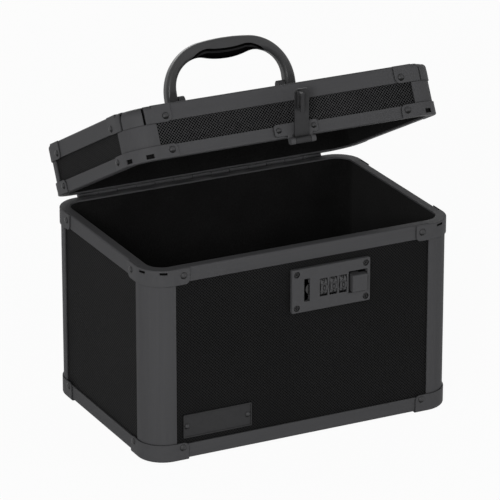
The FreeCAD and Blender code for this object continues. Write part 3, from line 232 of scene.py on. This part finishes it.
class Paint:
    """A node material with one shader, and short ways to feed its sockets."""

    def __init__(self, name, roughness, metallic=0.0, specular=0.5):
        self.material = bpy.data.materials.new(name)
        self.material.use_nodes = True
        self.tree = self.material.node_tree
        self.tree.nodes.clear()
        self.shader = self.add("ShaderNodeBsdfPrincipled")
        self.shader.inputs["Roughness"].default_value = roughness
        self.shader.inputs["Metallic"].default_value = metallic
        self.shader.inputs["Specular IOR Level"].default_value = specular
        out = self.add("ShaderNodeOutputMaterial")
        self.link(self.shader.outputs[0], out.inputs["Surface"])
        where = self.add("ShaderNodeTexCoord")
        self.place = where.outputs["Object"]
        self.normal = where.outputs["Normal"]

    def add(self, kind, **settings):
        """New node with its settings."""
        node = self.tree.nodes.new(kind)
        for key, value in settings.items():
            setattr(node, key, value)
        return node

    def link(self, source, target):
        self.tree.links.new(source, target)

    def feed(self, target, value):
        """Give an input a fixed value, or link a socket to it."""
        if isinstance(value, (int, float, tuple)):
            target.default_value = value
        else:
            self.link(value, target)

    def calc(self, operation, first, second=None):
        """One step of arithmetic on sockets or numbers."""
        node = self.add("ShaderNodeMath", operation=operation)
        self.feed(node.inputs[0], first)
        if second is not None:
            self.feed(node.inputs[1], second)
        return node.outputs[0]

    def dot(self, first, second):
        """How far two directions agree, from -1 to 1."""
        node = self.add("ShaderNodeVectorMath", operation="DOT_PRODUCT")
        self.feed(node.inputs[0], first)
        self.feed(node.inputs[1], second)
        return node.outputs["Value"]

    def mapped(self, scale=(1.0, 1.0, 1.0), turn=0.0):
        """The object's own coordinates, turned about X and then scaled."""
        spin = self.add("ShaderNodeMapping")
        spin.inputs["Rotation"].default_value = (turn, 0.0, 0.0)
        self.link(self.place, spin.inputs["Vector"])
        stretch = self.add("ShaderNodeMapping")
        stretch.inputs["Scale"].default_value = scale
        self.link(spin.outputs[0], stretch.inputs["Vector"])
        return stretch.outputs[0]

    def axes(self, turn):
        """The X, Y and Z of a part that leans back by turn."""
        parts = self.add("ShaderNodeSeparateXYZ")
        self.link(self.mapped(turn=turn), parts.inputs[0])
        return parts.outputs

    def noise(self, scale, detail, where=None):
        """Soft random patches, as many to a metre as scale says."""
        node = self.add("ShaderNodeTexNoise")
        node.inputs["Scale"].default_value = scale
        node.inputs["Detail"].default_value = detail
        self.link(where or self.place, node.inputs["Vector"])
        return node.outputs["Fac"]

    def spread(self, value, low, high, from_low=0.3, from_high=0.7):
        """Value brought from one range to another, by default from the usual range of a noise."""
        node = self.add("ShaderNodeMapRange")
        self.link(value, node.inputs["Value"])
        node.inputs["From Min"].default_value = from_low
        node.inputs["From Max"].default_value = from_high
        node.inputs["To Min"].default_value = low
        node.inputs["To Max"].default_value = high
        return node.outputs[0]

    def blend(self, share, first, second):
        """Colour between two, each a socket or a fixed colour."""
        node = self.add("ShaderNodeMix", data_type="RGBA")
        self.link(share, node.inputs["Factor"])
        self.feed(node.inputs["A"], first)
        self.feed(node.inputs["B"], second)
        return node.outputs["Result"]

    def grey(self, share, dark, light, tint=1.0):
        """Colour between two greys."""
        return self.blend(share, plain_grey(dark, tint), plain_grey(light, tint))

    def rounded(self, radius):
        """Normal that rounds sharp edges off."""
        node = self.add("ShaderNodeBevel", samples=BEVEL_SAMPLES)
        node.inputs["Radius"].default_value = radius
        return node.outputs[0]

    def worn(self, rounded):
        """1 along the edges that are rounded off, 0 on flats; it places the painted highlight."""
        straight = self.add("ShaderNodeNewGeometry").outputs["Normal"]
        return self.spread(self.dot(rounded, straight), 1.0, 0.0, *EDGE_HIGHLIGHT_BENDS)

    def hollows(self, reach, shut, clear):
        """Painted shade from ambient occlusion: 0 where narrow openings and steps leave less than shut
        open, 1 where more than clear is open.
        """
        node = self.add("ShaderNodeAmbientOcclusion", samples=OCCLUSION_SAMPLES)
        node.inputs["Distance"].default_value = reach
        return self.spread(node.outputs["AO"], 0.0, 1.0, shut, clear)

    def clean_sides(self, down):
        """Painted shade on lower sides: 0 on sides that face down, and 1 on all others."""
        return self.spread(self.dot(self.normal, down), 1.0, 0.0, *UNDERSIDE_SHADE_SLOPES)

    def between(self, value, low, high):
        """1 where a value lies between two others, 0 elsewhere."""
        above = self.calc("GREATER_THAN", value, low)
        below = self.calc("LESS_THAN", value, high)
        return self.calc("MULTIPLY", above, below)

    def bump(self, height, strength, distance, normal=None):
        """Fine relief of the surface."""
        node = self.add("ShaderNodeBump")
        node.inputs["Strength"].default_value = strength
        node.inputs["Distance"].default_value = distance
        self.link(height, node.inputs["Height"])
        if normal:
            self.link(normal, node.inputs["Normal"])
        self.link(node.outputs[0], self.shader.inputs["Normal"])

    def colour(self, value):
        self.link(value, self.shader.inputs["Base Color"])

    def rough(self, value):
        self.link(value, self.shader.inputs["Roughness"])


# Satin metals


class Finish(NamedTuple):
    dark: float
    light: float
    # Grey of the painted highlight on rounded edges.
    worn: float
    roughness: float
    specular: float


class Gaps(NamedTuple):
    reach: float
    shut: float
    clear: float


class Cover(NamedTuple):
    turn: float
    low: float
    high: float


FRAME_FINISH = Finish(0.054, 0.061, 0.066, 0.55, 0.03)
CAP_FINISH = Finish(0.054, 0.061, 0.066, 0.52, 0.04)
HARDWARE_FINISH = Finish(0.054, 0.061, 0.066, 0.50, 0.06)
PLATE_FINISH = Finish(0.024, 0.030, 0.055, 0.48, 0.12)
# Near black lock housing: painted shade in the opening round the button.
HOUSING_SHADE_FINISH = Finish(0.002, 0.005, 0.008, 0.60, 0.02)
RIVET_FINISH = Finish(0.036, 0.044, 0.066, 0.42, 0.15)
SCREW_FINISH = Finish(0.036, 0.044, 0.050, 0.40, 0.15)
DIAL_FINISH = Finish(0.048, 0.056, 0.085, 0.45, 0.15)

GRAIN_ALONG_X = (8.0, 500.0, 500.0)
GRAIN_ALONG_Y = (500.0, 8.0, 500.0)
GRAIN_ALONG_Z = (500.0, 500.0, 8.0)
CAP_GRAIN = (200.0, 200.0, 200.0)
PLATE_GRAIN = (300.0, 300.0, 300.0)
SMALL_GRAIN = (400.0, 400.0, 400.0)

# Ambient occlusion that paints shade into narrow openings, steps and the rims of heads: reach, then the
# open share for full and for no shade.
FRAME_OCCLUSION_SHADE = Gaps(0.002, 0.35, 0.75)
HEAD_OCCLUSION_SHADE = Gaps(0.004, 0.62, 1.0)
PLATE_OCCLUSION_SHADE = Gaps(0.005, 0.40, 0.90)
# Grey of all painted shade on the metals.
PAINTED_SHADE_GREY = 0.002

METAL_TINT = 1.04
EDGE_HIGHLIGHT_TINT = 1.02
METAL_EDGE = 0.0006
ROUGHNESS_SWING = 0.06
CASE_DOWN = (0.0, 0.0, -1.0)
LID_DOWN = (0.0, -math.sin(LID_ANGLE), -math.cos(LID_ANGLE))
LID_RIM_CAP_TALL = 0.0100


def satin_metal(name, finish, grain, shading=FRAME_OCCLUSION_SHADE, cap_shade=None, down=None):
    """Satin black metal: fine grain, soft patches, a painted highlight on rounded edges and painted shade
    in narrow openings.

    The layer that a cap hides is painted black, as painted shade. A domed head is told which way is
    down, and its lower side gets painted shade.
    """
    paint = Paint(name, finish.roughness, specular=finish.specular)
    patches = paint.noise(scale=9.0, detail=4.0)
    streaks = paint.noise(scale=1.0, detail=3.0, where=paint.mapped(scale=grain))
    both = paint.calc("ADD", paint.calc("MULTIPLY", patches, 0.5), paint.calc("MULTIPLY", streaks, 0.5))
    base = paint.grey(paint.spread(both, 0.0, 1.0), finish.dark, finish.light, METAL_TINT)
    rounded = paint.rounded(METAL_EDGE)
    # Painted highlight: rounded edges turn paler, varied by the patches.
    edge_highlight_share = paint.calc("MULTIPLY", paint.worn(rounded), paint.spread(patches, 0.25, 1.0))
    skin = paint.blend(edge_highlight_share, base, plain_grey(finish.worn, EDGE_HIGHLIGHT_TINT))
    # Painted shade from ambient occlusion.
    unshaded = paint.hollows(*shading)
    # Painted shade on a domed head's lower side.
    if down:
        unshaded = paint.calc("MULTIPLY", unshaded, paint.clean_sides(down))
    # Painted shade: the post's layer that the cap hides is painted black.
    if cap_shade:
        under = paint.between(paint.axes(cap_shade.turn)["Z"], cap_shade.low, cap_shade.high)
        unshaded = paint.calc("MULTIPLY", unshaded, paint.calc("SUBTRACT", 1.0, under))
    paint.colour(paint.blend(unshaded, plain_grey(PAINTED_SHADE_GREY), skin))
    paint.rough(paint.spread(both, finish.roughness - ROUGHNESS_SWING, finish.roughness + ROUGHNESS_SWING))
    paint.bump(paint.noise(scale=900.0, detail=2.0), strength=0.12, distance=0.0002, normal=rounded)
    return paint.material


def metals():
    """Every satin metal of the box, by its use."""
    rim_low, rim_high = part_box("case_rim_caps")
    # Bands of the posts that the rim caps hide, painted black as shade.
    case_cap_shade = Cover(0.0, rim_low[2], rim_high[2])
    lid_low = leaning_height(PIVOTS["lid_hinge"], LID_ANGLE)
    lid_cap_shade = Cover(LID_ANGLE, lid_low, lid_low + LID_RIM_CAP_TALL)
    return {
        "frame_x": satin_metal("frame_along_x", FRAME_FINISH, GRAIN_ALONG_X),
        "frame_y": satin_metal("frame_along_y", FRAME_FINISH, GRAIN_ALONG_Y),
        "case_posts": satin_metal("case_posts", FRAME_FINISH, GRAIN_ALONG_Z, cap_shade=case_cap_shade),
        "lid_posts": satin_metal("lid_posts", FRAME_FINISH, GRAIN_ALONG_Z, cap_shade=lid_cap_shade),
        "caps": satin_metal("cap_satin", CAP_FINISH, CAP_GRAIN),
        "hardware": satin_metal("hardware_satin", HARDWARE_FINISH, PLATE_GRAIN),
        "plates": satin_metal("plate_satin", PLATE_FINISH, PLATE_GRAIN, PLATE_OCCLUSION_SHADE),
        "housing": satin_metal("housing_painted_shade", HOUSING_SHADE_FINISH, PLATE_GRAIN),
        "case_rivets": satin_metal("rivet_satin", RIVET_FINISH, SMALL_GRAIN, HEAD_OCCLUSION_SHADE, down=CASE_DOWN),
        "lid_rivets": satin_metal("lid_rivet_satin", RIVET_FINISH, SMALL_GRAIN, HEAD_OCCLUSION_SHADE, down=LID_DOWN),
        "screws": satin_metal("screw_satin", SCREW_FINISH, SMALL_GRAIN, HEAD_OCCLUSION_SHADE, down=CASE_DOWN),
        "dials": satin_metal("dial_satin", DIAL_FINISH, SMALL_GRAIN),
    }


# Boards


class Weave(NamedTuple):
    light: float
    thin: float
    specular: float


WEAVE_STEP = 0.0024
PLAIN_WEAVE = Weave(0.0150, 0.35, 0.06)
# Painted light: the lid's front board is a lighter copy of the board, with bright ridges for the light
# that its upward tilt catches.
LID_FRONT_LIT_WEAVE = Weave(0.078, 0.76, 0.01)
BOARD_DARK = 0.0012
BOARD_TINT = 1.03
BOARD_TURNS = {"case": 0.0, "lid": LID_ANGLE}
BOARD_FACES = {"front": "XZ", "side": "YZ", "flat": "XY"}


def board(name, across, turn, weave):
    """Black board pressed with thin crossing ridges; across names the face's two directions."""
    paint = Paint(name, roughness=0.8, specular=weave.specular)
    axes = paint.axes(turn)
    waves = []
    for operation in ("ADD", "SUBTRACT"):
        along = paint.calc(operation, axes[across[0]], axes[across[1]])
        waves.append(paint.calc("SINE", paint.calc("MULTIPLY", along, 2.0 * math.pi / WEAVE_STEP)))
    ridge = paint.spread(paint.calc("MAXIMUM", *waves), 0.0, 1.0, weave.thin, 1.0)
    patches = paint.noise(scale=14.0, detail=3.0)
    lit = paint.calc("MULTIPLY", ridge, paint.spread(patches, 0.75, 1.0))
    paint.colour(paint.grey(lit, BOARD_DARK, weave.light, BOARD_TINT))
    paint.rough(paint.spread(ridge, 0.85, 0.7, 0.0, 1.0))
    paint.bump(ridge, strength=0.3, distance=0.0003)
    return paint.material


def boards():
    """The boards of case and lid, for each way that a board can face."""
    looks = {}
    for carrier, turn in BOARD_TURNS.items():
        for face, across in BOARD_FACES.items():
            name = "board_%s_%s" % (carrier, face)
            # Only the lid's front board takes the lighter copy, as painted light.
            weave = LID_FRONT_LIT_WEAVE if name == "board_lid_front" else PLAIN_WEAVE
            looks[name] = board(name, across, turn, weave)
    return looks


# Lining

LINING_DARK = 0.002
LINING_LIGHT = 0.006
LINING_SHEEN = 0.05


def felt():
    """Thin black lining with short fibres."""
    paint = Paint("lining_felt", roughness=0.95, specular=0.1)
    paint.shader.inputs["Sheen Weight"].default_value = LINING_SHEEN
    fibres = paint.noise(scale=700.0, detail=4.0)
    patches = paint.noise(scale=25.0, detail=3.0)
    both = paint.calc("MULTIPLY", fibres, patches)
    paint.colour(paint.grey(paint.spread(both, 0.0, 1.0, 0.12, 0.4), LINING_DARK, LINING_LIGHT))
    paint.bump(fibres, strength=0.4, distance=0.0004)
    return paint.material


# Grip of the handle

GRIP_DARK = 0.038
GRIP_LIGHT = 0.048
GRIP_TINT = 1.03
GRIP_ROUGHNESS = 0.34
GRIP_SPECULAR = 0.2
GRIP_EDGE = 0.0005
# Painted shade on the grip's belly, and a painted highlight line across it.
BELLY_SHADE_GREY = 0.001
BELLY_SPECULAR = 0.01
BELLY_RISE = 0.0313
BELLY_SAG = 5.5
BELLY_END = 0.014
BELLY_FALL = 37.0
BELLY_HALF = 0.033
BELLY_EDGE = 0.0032
HIGHLIGHT_LINE_LOW = 0.0
HIGHLIGHT_LINE_HIGH = 0.0014
HIGHLIGHT_LINE_PALER = 0.25


def belly_height(paint):
    """Height above the curved upper line of the painted shade on the grip's belly, square to the handle.

    On the legs it is raised far above that line, so that they are no part of the belly.
    """
    pivot = PIVOTS["handle_pivot"]
    axes = paint.axes(HANDLE_ANGLE)
    aside = paint.calc("ABSOLUTE", paint.calc("SUBTRACT", axes["X"], pivot[0]))
    curve = paint.calc("MULTIPLY", paint.calc("MULTIPLY", aside, aside), BELLY_SAG)
    beyond = paint.calc("MAXIMUM", paint.calc("SUBTRACT", aside, BELLY_END), 0.0)
    fall = paint.calc("MULTIPLY", paint.calc("MULTIPLY", beyond, beyond), BELLY_FALL)
    middle = leaning_height(pivot, HANDLE_ANGLE) + BELLY_RISE
    line = paint.calc("ADD", paint.calc("SUBTRACT", curve, fall), middle)
    legs = paint.calc("GREATER_THAN", aside, BELLY_HALF)
    return paint.calc("ADD", paint.calc("SUBTRACT", axes["Z"], line), legs)


def grip_plastic():
    """Moulded black plastic with a fine skin; the grip's belly is painted black as shade, with little
    specular, and a paler line across it is a painted highlight.
    """
    paint = Paint("grip_plastic", GRIP_ROUGHNESS, specular=GRIP_SPECULAR)
    skin = paint.noise(scale=1200.0, detail=2.0)
    patches = paint.noise(scale=30.0, detail=3.0)
    height = belly_height(paint)
    # Painted highlight: a paler line across the belly's painted shade.
    highlight_line = paint.calc("MULTIPLY", paint.between(height, HIGHLIGHT_LINE_LOW, HIGHLIGHT_LINE_HIGH), HIGHLIGHT_LINE_PALER)
    belly = paint.calc("SUBTRACT", paint.calc("LESS_THAN", height, BELLY_EDGE), highlight_line)
    plastic = paint.grey(paint.spread(patches, 0.0, 1.0), GRIP_DARK, GRIP_LIGHT, GRIP_TINT)
    paint.colour(paint.blend(belly, plastic, plain_grey(BELLY_SHADE_GREY)))
    # Less specular on the painted shade, so that it stays black.
    gloss = paint.spread(belly, GRIP_SPECULAR, BELLY_SPECULAR, 0.0, 1.0)
    paint.link(gloss, paint.shader.inputs["Specular IOR Level"])
    paint.rough(paint.spread(patches, GRIP_ROUGHNESS - 0.05, GRIP_ROUGHNESS + 0.07))
    paint.bump(skin, strength=0.15, distance=0.0002, normal=paint.rounded(GRIP_EDGE))
    return paint.material


# Steel and ink

STEEL_GRAIN = (60.0, 900.0, 900.0)
BRIGHT_GREYS = (0.3, 0.55)
BLUED_GREYS = (0.035, 0.06)
INK_GREYS = (0.003, 0.009)


def steel(name, greys):
    """Steel with drawn streaks."""
    paint = Paint(name, roughness=0.3, metallic=1.0)
    streaks = paint.noise(scale=1.0, detail=4.0, where=paint.mapped(scale=STEEL_GRAIN))
    paint.colour(paint.grey(paint.spread(streaks, 0.0, 1.0), *greys))
    paint.rough(paint.spread(streaks, 0.22, 0.4))
    paint.bump(streaks, strength=0.1, distance=0.0001)
    return paint.material


def dark_ink():
    """Ink of the dials' numbers, a little rubbed."""
    paint = Paint("number_ink", roughness=0.7, specular=0.1)
    rubbed = paint.noise(scale=1500.0, detail=3.0)
    paint.colour(paint.grey(paint.spread(rubbed, 0.0, 1.0), *INK_GREYS))
    paint.bump(rubbed, strength=0.2, distance=0.0001)
    return paint.material


# Which node gets which look

NAMED_LOOKS = {
    "lid_posts": "lid_posts",
    "case_rivets": "case_rivets",
    "lid_rivets": "lid_rivets",
    "lock_screws": "screws",
    "lock_housing": "housing",
    "lock_bolt": "blued_steel",
    "bolt_spring": "bright_steel",
    "dial_spindle": "bright_steel",
    "dial_left": "dials",
    "dial_middle": "dials",
    "dial_right": "dials",
    "hasp_plate": "plates",
    "name_plate": "plates",
    "handle": "grip",
}


def board_look(name):
    """Look of a board, by what carries it and the way that it faces."""
    carrier = name.split("_")[0]
    face = "front"
    if "_top_" in name or "_floor_" in name:
        face = "flat"
    elif "_left_" in name or "_right_" in name:
        face = "side"
    return "board_%s_%s" % (carrier, face)


def look_of(name):
    """Look of a node, from its name."""
    if name in NAMED_LOOKS:
        return NAMED_LOOKS[name]
    if name.endswith("_panel"):
        return board_look(name)
    if name.endswith("_lining"):
        return "lining"
    if "_rail_" in name:
        return "frame_y" if name.endswith(("_left", "_right")) else "frame_x"
    if "_post_" in name:
        return "case_posts"
    if name.endswith("_caps"):
        return "caps"
    return "hardware"


def paint_nodes():
    """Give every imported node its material."""
    looks = metals()
    looks.update(boards())
    looks["lining"] = felt()
    looks["grip"] = grip_plastic()
    looks["bright_steel"] = steel("bright_steel", BRIGHT_GREYS)
    looks["blued_steel"] = steel("blued_steel", BLUED_GREYS)
    for name, node in NODES.items():
        node.data.materials.clear()
        node.data.materials.append(looks[look_of(name)])


# Numbers on the dials

DIALS = ("left", "middle", "right")
DIAL_RADIUS = 0.009
DIGITS = 10
DIGIT_TALL = 0.0042
FONT_SIZE_TO_DIGIT = 1.4
DIGIT_DEEP = 0.00016
DIGIT_SUNK = 0.0001
DIGIT_STEP = 36.0
DIGIT_START = 4.0


def add_numbers():
    """Ten numbers round each dial, each a thin raised mark on the rim."""
    ink = dark_ink()
    stand = Matrix.Rotation(QUARTER_TURN, 4, "X")
    outward = Matrix.Translation((0.0, DIGIT_SUNK - DIAL_RADIUS, 0.0))
    for side in DIALS:
        low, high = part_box("dial_" + side)
        centre = (Vector(low) + Vector(high)) / 2
        for digit in range(DIGITS):
            curve = bpy.data.curves.new("dial_%s_number_%d" % (side, digit), "FONT")
            curve.body = str(digit)
            curve.size = DIGIT_TALL * FONT_SIZE_TO_DIGIT
            curve.align_x = "CENTER"
            curve.align_y = "CENTER"
            curve.extrude = DIGIT_DEEP
            curve.materials.append(ink)
            piece = bpy.data.objects.new(curve.name, curve)
            bpy.context.collection.objects.link(piece)
            wheel = Matrix.Rotation(math.radians(DIGIT_STEP * digit + DIGIT_START), 4, "X")
            piece.matrix_world = Matrix.Translation(centre) @ wheel @ outward @ stand
            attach(piece, "dial_" + side)


# Spring behind the bolt


def add_spring():
    """The bolt's spring, a copy of its part on its own mesh that rides with the case, in place of the
    imported one.
    """
    node = NODES["bolt_spring"]
    piece = node.copy()
    piece.data = node.data.copy()
    piece.name = "bolt_spring_coil"
    bpy.context.collection.objects.link(piece)
    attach(piece, "case")
    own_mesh(piece)
    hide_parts("bolt_spring")


# Build
add_camera()
add_world()
add_lamps()
add_floor()
paint_nodes()
add_numbers()
add_spring()
bpy.context.scene.view_settings.view_transform = "Standard"
